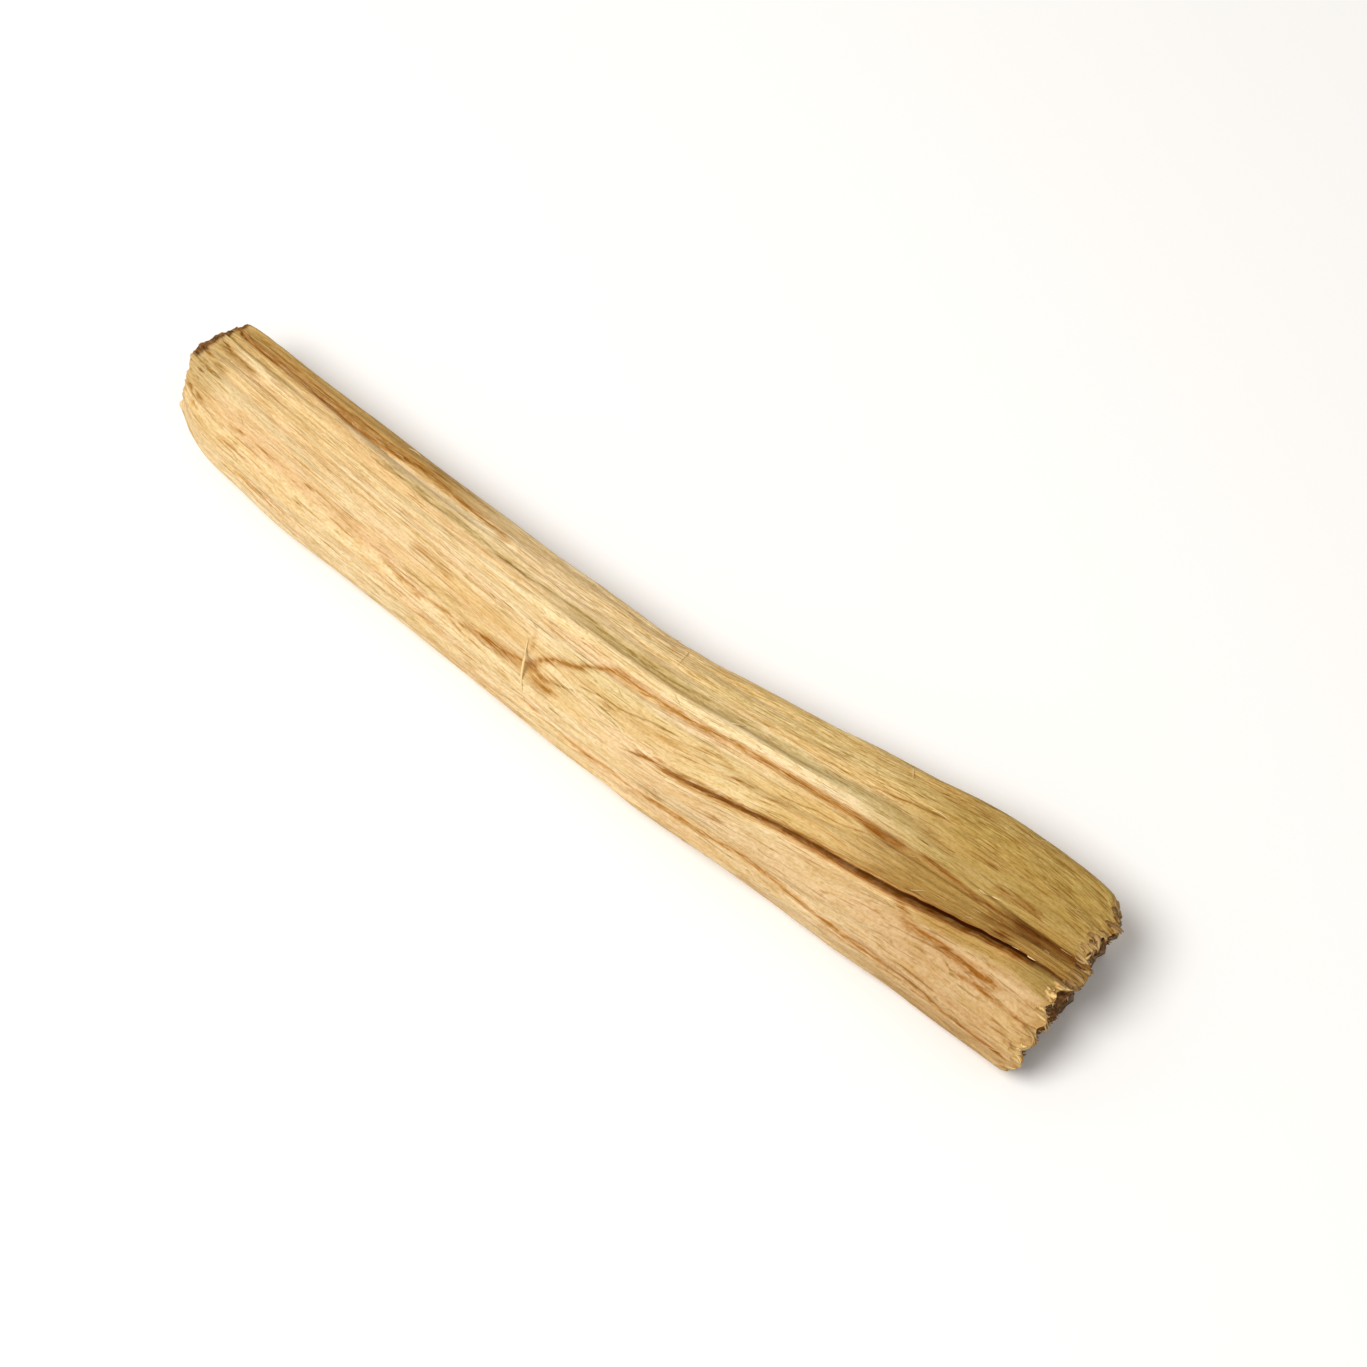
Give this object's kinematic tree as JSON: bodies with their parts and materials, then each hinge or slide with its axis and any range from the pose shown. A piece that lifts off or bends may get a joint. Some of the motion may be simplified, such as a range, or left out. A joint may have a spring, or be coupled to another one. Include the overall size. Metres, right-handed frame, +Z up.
{
  "type": "palo santo stick",
  "caption": "Short split stick of pale aromatic wood with a long drying crack, one flared torn end and one crushed end, lying on its flat split side.",
  "frame": {"origin": "bottom centre of the bounding box, on the surface that the stick lies on", "axes": "+X runs along the grain towards the torn, flared end; +Z is up; -Y is the side with the long crack"},
  "size_m": [0.1026, 0.0192, 0.0098],
  "materials": {
    "wood": "raw split wood, matt, with a faint waxy sheen from its resin"
  },
  "bodies": {
    "root": {"stick": "wood"}
  },
  "joints": []
}
